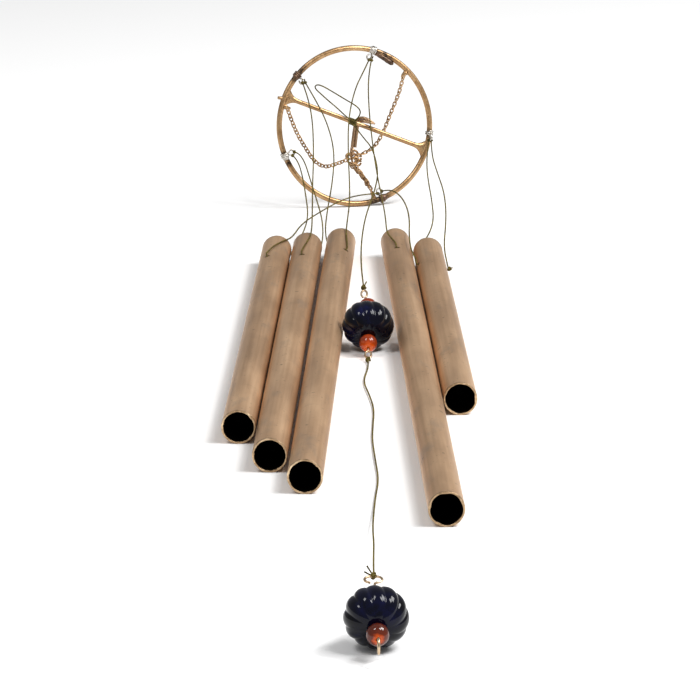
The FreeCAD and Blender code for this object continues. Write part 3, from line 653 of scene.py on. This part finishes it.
def amber_glass(stack, painted_rim_shade, painted_glow_reach):
    """Orange glass, painted bright about the bore out to a given reach as a painted glow, and
    painted darker to a given rim colour beyond it as painted shade.
    """
    paint = Paint(f"amber_glass_{stack}", IOR=1.5, Specular_IOR_Level=0.4)
    x, y, _ = paint.node("ShaderNodeSeparateXYZ", {0: paint.local(bead_matrix(stack))}).outputs
    swirl = paint.noise(330.0, 3.0, 0.5, distortion=1.5)
    depth = paint.maths("ADD", paint.maths("DIVIDE", paint.radius(x, y), SPACER_RADIUS),
                        paint.maths("MULTIPLY", paint.maths("SUBTRACT", swirl, 0.5), 0.5))
    # Colour by distance from the pin: a painted glow near the bore, painted shade towards the rim.
    colour = paint.ramp(depth, (painted_glow_reach * 0.5, (0.80, 0.13, 0.008)),
                        (painted_glow_reach, (0.62, 0.08, 0.006)), (painted_glow_reach + 0.25, painted_rim_shade),
                        (1.0, tuple(0.6 * channel for channel in painted_rim_shade)))
    ripple = paint.noise(500.0, 2.0, 0.5)
    return paint.finish(colour, paint.scaled(ripple, 0.08, 0.04), ripple, 0.06 * MM, 0.3)


# ---- strings and knots

def make_string(name, material, body):
    """One string as a cord. A tube's string is left loose, with no body."""
    route = STRINGS[name]
    points = evenly(spline_points(route), STRING_STEP)
    shape = Shape()
    twisted(shape, points, STRING_THICKNESS)
    piece = shape.object(f"{name}_cord", material, slot="string", stands_for=[name])
    if body.startswith("tube"):
        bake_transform(piece)
    else:
        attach(piece, body)


def knot_shape(shape, centre, along, radius, tails=()):
    """A pulled-tight overhand knot about a string, with cut tails leaving it."""
    centre, along = np.array(centre, float), unit(np.array(along, float))
    side = unit(np.cross(along, (0.2, -0.9, 0.4)))
    up = np.cross(along, side)
    t = np.linspace(0, 2 * np.pi, 72, endpoint=False)
    thick = 0.42 * STRING_THICKNESS
    scale = (radius - thick) / 2.7
    loop = (centre
            + scale * np.outer((1.7 + np.cos(3 * t)) * np.cos(2 * t), side)
            + scale * np.outer((1.7 + np.cos(3 * t)) * np.sin(2 * t), up)
            + 1.5 * scale * np.outer(np.sin(3 * t), along))
    sweep(shape, loop, thick, 7, closed=True)
    core = arc(centre, along, side, 0.2 * radius, 0, 300, 8)
    sweep(shape, core, 0.55 * radius, 8)
    for tail in tails:
        reach = np.array(tail, float)
        bend = np.cross(unit(reach), side) * 0.12 * np.linalg.norm(reach)
        path = evenly(np.array([centre, centre + reach * 0.5 + bend, centre + reach]), 0.4 * MM)
        twisted(shape, path, 0.9 * STRING_THICKNESS, sides=5)


def make_knot(name, material, body, centre, along, radius, tails=(), stands_for=()):
    shape = Shape()
    knot_shape(shape, centre, along, radius, tails)
    return shape.object(name, material, body=body, slot="string", stands_for=stands_for)


def make_bar_knot(material):
    """Cord wound four times round the crossbar, with the knot in front."""
    shape = Shape()
    centre = BAR.inverted() @ Vector(BAR_KNOT)
    t = np.linspace(0, 2 * np.pi * BAR_KNOT_TURNS, 120)
    reach = BAR_THICKNESS / 2 + 0.42 * STRING_THICKNESS
    wind = np.stack([centre.x + BAR_KNOT_HALF_WIDTH * (t / t[-1] - 0.5) * 2,
                     reach * np.cos(t), reach * np.sin(t)], axis=1)
    twisted(shape, evenly(placed(BAR, wind), 0.3 * MM), STRING_THICKNESS)
    knot_shape(shape, BAR_KNOT, (0.6, 0.3, 0.7), 1.75 * MM, [(-0.0012, -0.0018, 0.0022)])
    shape.object("bar_knot_turns", material, body="frame", slot="string",
                 stands_for=["bar_knot"])


def make_clip_knots(material):
    """The knots that tie the tube strings' ends to the clips."""
    for number in range(1, 6):
        route = STRINGS[f"tube_string_{number}"]
        for end, (place, after) in {"first": route[:2], "last": route[:-3:-1]}.items():
            away = np.array(place) - np.array(after)
            make_knot(f"tube_{number}_{end}_knot", material, "frame", place, away, 0.95 * MM,
                      [unit(away) * 1.6 * MM + np.array((0.5, -0.9, 0.3)) * MM])


def make_knots(material):
    """The knots at the ends of the centre and lower strings, and the fifth tube's stop knot."""
    lower = STRINGS["lower_string"]
    striker = make_knot("striker_string_knot", material, "frame",
                        STRINGS["centre_string"][-1], (0, 1, 0.05), 1.25 * MM,
                        [(0.0012, 0.0042, 0.0014)], ["striker_knot"])
    near = make_knot("lower_string_knot", material, "catcher", lower[0], (0.1, 1, 0.2),
                     1.25 * MM, stands_for=["lower_knot"])
    catcher = make_knot("catcher_string_knot", material, "catcher", lower[-1], (0, 1, 0.2),
                        1.35 * MM, [(-0.0030, 0.0012, 0.0010), (-0.0022, 0.0010, 0.0030)],
                        ["catcher_knot"])
    tube = make_knot("tube_5_stop_knot", material, "tube_5", TUBE_KNOT, (0, 1, 0.1), 1.1 * MM,
                     [(0.0012, -0.0016, 0.0008)], ["tube_knot_5"])
    return striker, near, catcher, tube


# ---- ring and what is on it

def make_braze(side, material):
    """The flared web between the bar's end and the ring."""
    turns = np.linspace(0, 2 * np.pi, 20, endpoint=False)
    half_bar = BAR_THICKNESS / 2 * 1.02
    rings = []
    for share in np.linspace(0, 1, 15):
        flare = (1 - share) ** 2.4
        half_width = half_bar + BRAZE_FLARE * flare
        half_depth = half_bar + 0.12 * MM * flare
        x = side * (BAR_LENGTH / 2 - 0.4 * MM - BRAZE_REACH * share)
        bulge = 0.19 * MM * flare * (1 - np.cos(2 * turns)) / 2
        rings.append(placed(BAR, np.stack([x + side * bulge, half_width * np.sin(turns),
                                           half_depth * np.cos(turns)], axis=1)))
    shape = Shape()
    shape.rings(rings)
    shape.points = roughened(shape.points, 0.10 * MM, 1.4 * MM, side + 3)
    name = "left" if side < 0 else "right"
    shape.object(f"crossbar_{name}_web", material, body="frame", slot="braze",
                 stands_for=[f"crossbar_braze_{name}"])


def make_lap(material):
    """The ring's inner end, lapped along its outer one and brazed down."""
    shape = Shape()
    turns = np.radians(np.linspace(LAP_START, LAP_END, 26))
    share = np.linspace(0, 1, 26)
    reach = RING_RADIUS - (2.25 - 1.6 * share ** 1.6) * MM
    path = np.stack([reach * np.cos(turns), reach * np.sin(turns), 0.25 * MM * (1 - share)], 1)
    thinning = 0.86 * (1 - 0.25 * share ** 3)
    rounding = np.sqrt(1 - np.clip(1 - share / 0.16, 0, 0.93) ** 2)
    sweep(shape, placed(RING, path), RING_WIRE / 2 * thinning * rounding, 16)
    lumps = arc((0, 0, 0), (1, 0, 0), (0, 1, 0), RING_RADIUS - 0.9 * MM, 57, 71, 14)
    swell = (1.0 + 0.25 * np.sin(np.linspace(0.4, 8, 14))) * MM
    sweep(shape, placed(RING, lumps), swell, 12)
    shape.points = roughened(shape.points, 0.16 * MM, 1.3 * MM, 2)
    shape.object("ring_lapped_end", material, body="frame", slot="braze",
                 stands_for=["ring_lap_joint"])


def solder_blob(place, size, shift):
    """A round lump stretched along the ring's wire, as rings of points."""
    blob = []
    for latitude in np.linspace(-1.45, 1.45, 9):
        ring = [(size * math.cos(latitude) * math.cos(a), 1.25 * size * math.sin(latitude),
                 size * math.cos(latitude) * math.sin(a))
                for a in np.linspace(0, 2 * np.pi, 14, endpoint=False)]
        blob.append(placed(place, np.array(ring) + (0, shift, 0)))
    return blob


def make_clip(letter, blob_size, wound, eye_metal):
    """Wire wound round the ring and soldered, and the eye that it ends in."""
    degrees, along, inwards, in_front = CLIPS[letter]
    place = on_ring(degrees)
    t = np.linspace(0, 2 * np.pi * CLIP_TURNS, 60)
    reach = RING_WIRE / 2 + 0.35 * MM
    wind = np.stack([reach * np.cos(t), CLIP_HALF_WIDTH * (t / t[-1] - 0.5) * 2,
                     reach * np.sin(t)], 1)
    shape = Shape()
    sweep(shape, placed(place, wind), CLIP_WIRE / 2, 8)
    shape.rings(solder_blob(place, blob_size, 0.6 * MM * (1 if along >= 0 else -1)))
    shape.points = roughened(shape.points, 0.14 * MM, 0.9 * MM, ord(letter))
    shape.object(f"string_clip_{letter}_wire", wound, body="frame", slot="clip_wire",
                 stands_for=[f"string_clip_{letter}"])
    first, second = ((0, 1, 0), (0, 0, 1)) if in_front else ((1, 0, 0), (0, 1, 0))
    eye = arc((-inwards, along, in_front), first, second, CLIP_EYE_RADIUS, 20, 350, 30)
    shape = Shape()
    sweep(shape, placed(place, eye), CLIP_EYE_WIRE / 2, 8)
    shape.object(f"string_clip_{letter}_eye", eye_metal, body="frame", slot="clip_wire")


def make_stubs(wire):
    """Tapered blobs that hold the chains' loops to the ring, and a cut wire end outside it."""
    for side, degrees in CHAIN_ANCHORS.items():
        shape = Shape()
        path = [(-1.0 * MM, 0, 0), (-2.0 * MM, 0.1 * MM, 0), (-3.2 * MM, 0.2 * MM, 0),
                (-4.2 * MM, 0, 0)]
        sweep(shape, placed(on_ring(degrees), path), np.array([1.5, 1.1, 0.75, 0.45]) * MM, 12)
        shape.points = roughened(shape.points, 0.15 * MM, 1.0 * MM, degrees)
        shape.object(f"chain_stub_{side}", wire, body="frame", slot="chain_metal",
                     stands_for=[f"chain_anchor_{side}"])
    shape = Shape()
    sweep(shape, placed(on_ring(157), [(0.6 * MM, 0, 0), (1.8 * MM, 0.2 * MM, 0),
                                       (2.9 * MM, 0.5 * MM, 0.1 * MM)]),
          np.array([0.95, 0.8, 0.7]) * MM, 10)
    shape.object("ring_wire_stub", wire, body="frame", slot="braze")


# ---- chains and hook

def link_loop():
    """A link's centreline lying along X, twisted so that it nests in its neighbours."""
    turns = np.linspace(0, 2 * np.pi, 22, endpoint=False)
    across = (LINK_WIDTH - LINK_WIRE) / 2
    straight = (LINK_LENGTH - LINK_WIRE) / 2 - across
    x = across * np.cos(turns) + straight * np.sign(np.cos(turns)) * np.abs(np.cos(turns)) ** 0.35
    y = across * np.sin(turns)
    return np.stack([x, y, 0.42 * x * np.sign(y) * np.abs(y / across) ** 0.5], axis=1)


def make_chain(side, route, lean, material):
    """A curb chain from its loop on the ring to the junction, turned about itself by lean."""
    route = placed(RING, route)
    places = evenly(spline_points(route), LINK_PITCH)
    loop = link_loop()
    ahead = np.gradient(places, axis=0)
    front = np.array(RING.to_3x3().col[2])
    shape = Shape()
    for i, (place, direction) in enumerate(zip(places, ahead)):
        x = unit(direction)
        flat = unit(front - x * (front @ x))
        turn = math.radians(lean + (24 if i % 2 else -20))
        z = flat * math.cos(turn) + np.cross(x, flat) * math.sin(turn)
        y = np.cross(z, x)
        sweep(shape, place + loop @ np.array([x, y, z]), LINK_WIRE / 2, 7, closed=True)
    piece = shape.object(f"chain_{side}_links", material, slot="chain_metal",
                         stands_for=[f"chain_{side}"])
    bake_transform(piece)


def make_hook(material):
    """Wire doubled back on itself, bent over the crossbar to a point, with an eye below."""
    line = placed(RING, evenly(spline_points(HOOK_ROUTE), 0.5 * MM))
    front = np.array(RING.to_3x3().col[2])
    ahead = np.gradient(line, axis=0)
    share = np.linspace(0, 1, len(line))
    taper = np.clip((share - HOOK_TAPER_START) / (1 - HOOK_TAPER_START), 0, 1) ** 2
    apart = HOOK_WIRE / 2 * (1 - taper)
    thick = (HOOK_WIRE - (HOOK_WIRE - HOOK_TIP_WIRE) * taper) / 2
    shape = Shape()
    across = np.array([unit(np.cross(direction, front)) for direction in ahead])
    for sign in (-1, 1):
        sweep(shape, line + sign * apart[:, None] * across, thick, 12)
    eye = arc(HOOK_EYE, (0, 1, 0), (0, 0, 1), HOOK_EYE_RADIUS, 0, 360, 34)[:-1]
    sweep(shape, placed(RING, eye), HOOK_EYE_WIRE / 2, 10, closed=True)
    shape.points = roughened(shape.points, 0.07 * MM, 1.6 * MM, 4)
    shape.object("hook_doubled_wire", material, body="hook", slot="hook_metal",
                 stands_for=["hanging_hook"])


def make_junction(material):
    """The rings that the three chains meet in."""
    shape = Shape()
    for shift, radius, tilt in JUNCTION_RINGS:
        first = Matrix.Rotation(math.radians(tilt[0]), 3, "X") @ Vector((1, 0, 0))
        second = Matrix.Rotation(math.radians(tilt[1]), 3, "Y") @ Vector((0, 1, 0))
        second = (second - first * second.dot(first)).normalized()
        ring = arc(np.array(JUNCTION) + shift, np.array(first), np.array(second), radius * MM,
                   4, 352, 40)
        sweep(shape, placed(RING, ring), JUNCTION_WIRE / 2, 9)
    shape.object("junction_rings", material, body="hook", slot="chain_metal",
                 stands_for=["junction_ring"])


# ---- tubes

def rim_bite(turns, seed):
    """How far the burr reaches in at each turn, from 0 to 1, as a sum of random waves."""
    rng = np.random.default_rng(seed)
    waves = sum(rng.normal(0, k ** -0.6) * np.cos(k * turns + rng.uniform(0, 6.3))
                for k in (3, 5, 9, 17, 29, 43))
    return np.interp(waves, (waves.min(), waves.max()), (0, 1))


def make_rim(number, end, y, material, seed):
    """The thin ragged burr that the saw left round a tube's end."""
    place = tube_matrix(number)
    turns = np.linspace(0, 2 * np.pi, RIM_POINTS, endpoint=False)
    bite = rim_bite(turns, seed)
    inner = TUBE_OUTER / 2 - TUBE_WALL - 0.02 * MM - RIM_BITE * bite ** 3
    outer = TUBE_OUTER / 2 + 0.02 * MM
    out = RIM_BURR * (0.4 + bite) * (-1 if end == "near" else 1)
    profile = ((outer, 0.0), (outer - 0.12 * MM, 0.8), (inner + 0.15 * MM, 1.0), (inner, 0.3),
               (inner + 0.05 * MM, -0.9), (outer - 0.2 * MM, -0.9))
    rings = [np.stack([radius * np.cos(turns), y + lift * out, radius * np.sin(turns)], axis=1)
             for radius, lift in profile]
    shape = Shape()
    shape.rings([placed(place, ring) for ring in rings], closed=True)
    shape.object(f"tube_{number}_{end}_rim", material, body=f"tube_{number}", slot="tube_copper")


# ---- beads

def turned(shape, matrix, profile, lobes=None, count=120):
    """Skins a closed (radius, height) profile round Z; lobes gives each point's share of r."""
    turns = np.linspace(0, 2 * np.pi, count, endpoint=False)
    rings = []
    for radius, height in profile:
        share = lobes(turns, radius, height) if lobes else 1.0
        rings.append(np.stack([radius * share * np.cos(turns), radius * share * np.sin(turns),
                               np.full(count, height)], axis=1))
    shape.rings([placed(matrix, ring) for ring in rings], closed=True)


def bead_profile():
    """The melon bead's outline from its lower edge round to its bore and back."""
    edge = math.degrees(math.asin(BEAD_HALF / LOBE_ARC)) - 2
    outside = [(LOBE_OFFSET + LOBE_ARC * math.cos(a), LOBE_ARC * math.sin(a))
               for a in np.radians(np.linspace(-edge, edge, 61))]
    top = [(2.9 * MM, 1.0), (2.1 * MM, 0.99), (1.3 * MM, 0.965), (0.8 * MM, 0.95),
           (BORE, 0.92)]
    over = [(r, share * BEAD_HALF) for r, share in top]
    under = [(r, -z) for r, z in reversed(over)]
    return outside + over + under


def melon_lobes(turns, radius, height):
    """How far the bead's surface sinks between its lobes, which lean a little round it."""
    lean = LOBE_LEAN * height / BEAD_HALF
    hollow = 1 - (np.cos(6 * (turns + lean)) ** 2 + 0.015) ** 0.25
    fade = min(1.0, max(0.0, (radius - 1.2 * MM) / (3.2 * MM)))
    uneven = 1 + 0.012 * np.sin(2 * turns + 1.0) + 0.008 * np.sin(5 * turns)
    return uneven * (1 - LOBE_DEPTH * fade * hollow)


def spacer_profile():
    """The outline of a round spacer, open along its bore."""
    turns = np.radians(np.linspace(-78, 78, 25))
    outside = [(SPACER_RADIUS * math.cos(a), SPACER_RADIUS * math.sin(a)) for a in turns]
    lip = [(BORE, 0.93 * SPACER_RADIUS), (BORE, 0.0), (BORE, -0.93 * SPACER_RADIUS)]
    return outside + lip


def make_pin(stack, matrix, aside, up, near_turn, eye_width, material):
    """The pin, one wire bent to an eye at each end; eye_width is the far eye's share of round."""
    far = np.array((aside, -up, EYE_REACH))
    near = np.array((0, 0, -EYE_REACH))
    across = np.array(Matrix.Rotation(near_turn, 3, "Z") @ Vector((1, 0, 0)))
    x, z = np.array((1.0, 0, 0)), np.array((0, 0, 1.0))
    neck = [(0, 0, -EYE_REACH + EYE_RADIUS), (0, 0, -PIN_SHAFT / 2), (0, 0, 0),
            (0, 0, PIN_SHAFT / 2)]
    near_width = 0.5 if stack == "striker" else 1.0
    path = np.concatenate([
        arc(near, z, near_width * across, EYE_RADIUS, 342, 12, 32), neck,
        arc(far, -z, eye_width * x, EYE_RADIUS, 8, 338, 32)])
    shape = Shape()
    sweep(shape, placed(matrix, path), PIN_WIRE / 2, 10)
    shape.object(f"{stack}_wire", material, body=stack, slot="pin_metal",
                 stands_for=[f"{stack}_pin"])


def make_stack(stack, aside, up, near_turn, eye_width, glass, amber, metal):
    """A pin with a melon bead and a spacer at each side of it, each on its own body."""
    matrix = bead_matrix(stack)
    make_pin(stack, matrix, aside, up, near_turn, eye_width, metal)
    shape = Shape()
    turned(shape, matrix, bead_profile(), melon_lobes, 288)
    shape.object(f"{stack}_melon", glass, body=f"{stack}_bead", slot="bead_glass",
                 stands_for=[f"{stack}_bead"])
    for end in ("far", "near"):
        name = f"{stack}_spacer_{end}"
        place = Matrix.Translation(joint(f"{name}_spin")["pos_m"]) @ matrix.to_3x3().to_4x4()
        shape = Shape()
        turned(shape, place, spacer_profile(), count=40)
        shape.points = roughened(shape.points, 0.07 * MM, 2.6 * MM, len(name))
        shape.object(f"{name}_glass", amber, body=name, slot="spacer_glass", stands_for=[name])


def recolour(names, material):
    """Gives nodes that keep their own meshes a material."""
    for name in names:
        node = frame["nodes"][name]
        node.data.materials.clear()
        node.data.materials.append(material)


# ---- the scene

make_camera()
make_floor()
make_light()

cord = cord_fibre()
knots = make_knots(cord)
for number in range(1, 6):
    make_string(f"tube_string_{number}", cord, f"tube_{number}")
make_string("centre_string", cord, "frame")
make_string("lower_string", cord, "catcher")
make_string("string_tail", cord, "frame")
make_bar_knot(cord)
make_clip_knots(cord)

ring_brass = brass_wire("ring_brass", (0.28, 0.15, 0.065), (0.46, 0.275, 0.13),
                        (0.66, 0.43, 0.225), BURNS)
web_brass = brass_wire("web_brass", (0.32, 0.18, 0.085), (0.47, 0.29, 0.14), (0.62, 0.41, 0.22))
burnt = brass_wire("burnt_braze", (0.035, 0.02, 0.012), (0.15, 0.085, 0.05), (0.42, 0.26, 0.15),
                   metallic=0.6)
chain_metal = brass_wire("chain_metal", (0.20, 0.11, 0.05), (0.37, 0.22, 0.105),
                         (0.58, 0.38, 0.20))
hook_metal = brass_wire("hook_metal", (0.24, 0.14, 0.08), (0.42, 0.26, 0.15),
                        (0.60, 0.41, 0.25))
pin_metal = brass_wire("pin_metal", (0.34, 0.22, 0.12), (0.62, 0.46, 0.30),
                       (0.82, 0.70, 0.54), metallic=1.0)
silver = solder()

recolour(["ring", "crossbar"], ring_brass)
for side in (-1, 1):
    make_braze(side, web_brass)
make_lap(burnt)
for letter, size, wound in (("a", 1.65, burnt), ("b", 1.75, silver), ("c", 1.75, silver),
                            ("d", 1.3, silver), ("e", 1.8, burnt)):
    make_clip(letter, size * MM, wound, silver)
make_stubs(chain_metal)
for side, lean in CHAIN_LEANS.items():
    make_chain(side, CHAINS[side], lean, chain_metal)
make_hook(hook_metal)
make_junction(chain_metal)

rim_metal = brass_wire("sawn_rim", (0.10, 0.06, 0.03), (0.46, 0.31, 0.175), (0.86, 0.66, 0.42))
for number in range(1, 6):
    recolour([f"tube_{number}"], copper_tube(number))
    make_rim(number, "far", 0.0, rim_metal, 20 + number)
    make_rim(number, "near", -tube_length(number), rim_metal, 30 + number)

glass = melon_glass()
make_stack("striker", -1.5 * MM, 0.8 * MM, 0.0, 0.5, glass,
           amber_glass("striker", (0.34, 0.04, 0.006), 0.55), pin_metal)
make_stack("catcher", -0.1 * MM, 3.1 * MM, math.radians(90), 1.2, glass,
           amber_glass("catcher", (0.12, 0.018, 0.006), 0.32), pin_metal)
